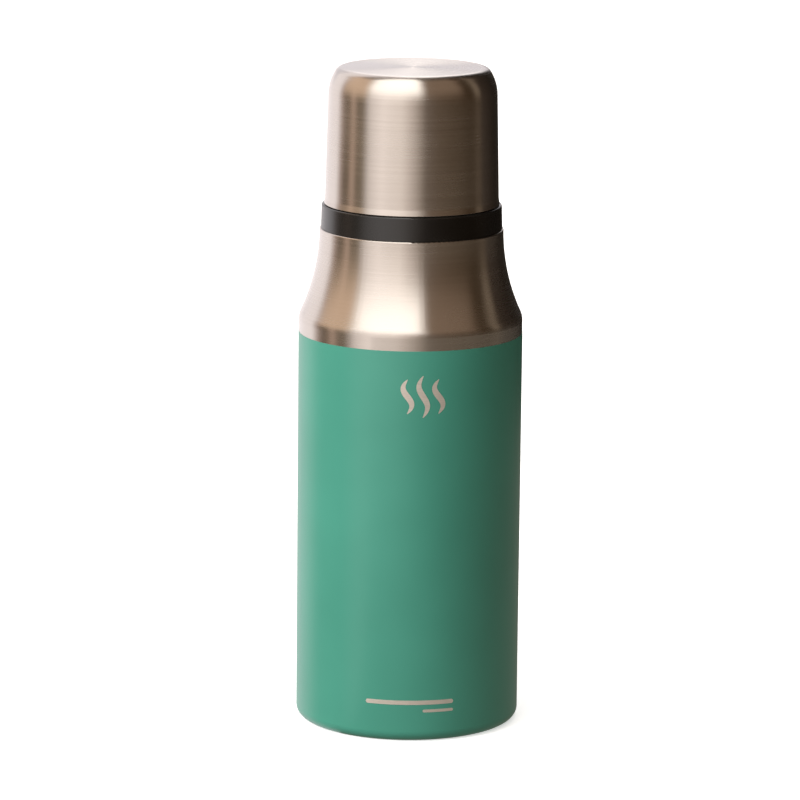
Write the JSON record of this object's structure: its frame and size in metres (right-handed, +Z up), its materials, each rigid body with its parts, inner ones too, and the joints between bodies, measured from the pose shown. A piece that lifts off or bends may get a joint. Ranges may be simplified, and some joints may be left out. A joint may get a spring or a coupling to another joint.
{
  "type": "vacuum flask",
  "caption": "Slim upright vacuum flask with a painted body, bare steel shoulder, black collar, press-to-pour screw stopper and screw-on drinking cup.",
  "frame": {"origin": "centre of the face the flask stands on", "axes": "+Z up along the flask's axis; -Y is the front, the side seen in the picture"},
  "size_m": [0.078, 0.078, 0.23],
  "materials": {
    "green_powder_coat": "satin, very fine texture",
    "brushed_steel": "brushed round the axis",
    "pressed_steel": "plain pressed sheet",
    "solder": "dull bead",
    "getter_alloy": "sintered pellet",
    "foil": "bright thin foil",
    "black_plastic": "satin moulded",
    "dark_plastic": "moulded",
    "button_plastic": "polished moulding",
    "liner_plastic": "moulded, lightly polished",
    "silicone": "soft, slightly translucent",
    "foam": "closed-cell foam",
    "spring_wire": "drawn wire"
  },
  "bodies": {
    "flask": {"outer_body": "green_powder_coat", "shoulder": "brushed_steel", "outer_base": "pressed_steel", "evacuation_seal": "solder", "base_cover": "brushed_steel", "getter_clip": "pressed_steel", "getter": "getter_alloy", "inner_liner": "pressed_steel", "liner_neck": "pressed_steel", "liner_base": "pressed_steel", "radiation_foil": "foil", "neck_collar": "black_plastic"},
    "stopper_seal": {"stopper_gasket": "silicone"},
    "stopper": {"stopper_body": "dark_plastic", "stopper_plug": "dark_plastic", "stopper_foam": "foam", "stopper_cover": "dark_plastic", "button_spring": "spring_wire"},
    "press_valve": {"button": "button_plastic", "valve_stem": "dark_plastic", "valve_head": "dark_plastic", "valve_seal": "silicone"},
    "cup_seal": {"cup_gasket": "silicone"},
    "cup": {"cup_shell": "brushed_steel", "cup_thread_ring": "liner_plastic", "cup_liner": "liner_plastic"}
  },
  "joints": [
    {"name": "stopper_rise", "type": "slide", "parent": "flask", "child": "stopper_seal", "axis": [0, 0, 1], "range_m": [0, 0.032]},
    {"name": "stopper_turn", "type": "hinge", "parent": "stopper_seal", "child": "stopper", "pos_m": [0, 0, 0.2001], "axis": [0, 0, 1], "range_deg": [0, 1440]},
    {"name": "button_press", "type": "slide", "parent": "stopper", "child": "press_valve", "axis": [0, 0, -1], "range_m": [0, 0.0035], "stiffness_N_per_m": 800, "springref_m": -0.004, "deforming": ["button_spring"]},
    {"name": "cup_rise", "type": "slide", "parent": "stopper", "child": "cup_seal", "axis": [0, 0, 1], "range_m": [0, 0.032]},
    {"name": "cup_turn", "type": "hinge", "parent": "cup_seal", "child": "cup", "pos_m": [0, 0, 0.1977], "axis": [0, 0, 1], "range_deg": [0, 1440]}
  ],
  "couplings": [
    {"joint": "stopper_rise", "follows": "stopper_turn", "m_per_rad": 0.0012732},
    {"joint": "cup_rise", "follows": "cup_turn", "m_per_rad": 0.0012732}
  ]
}
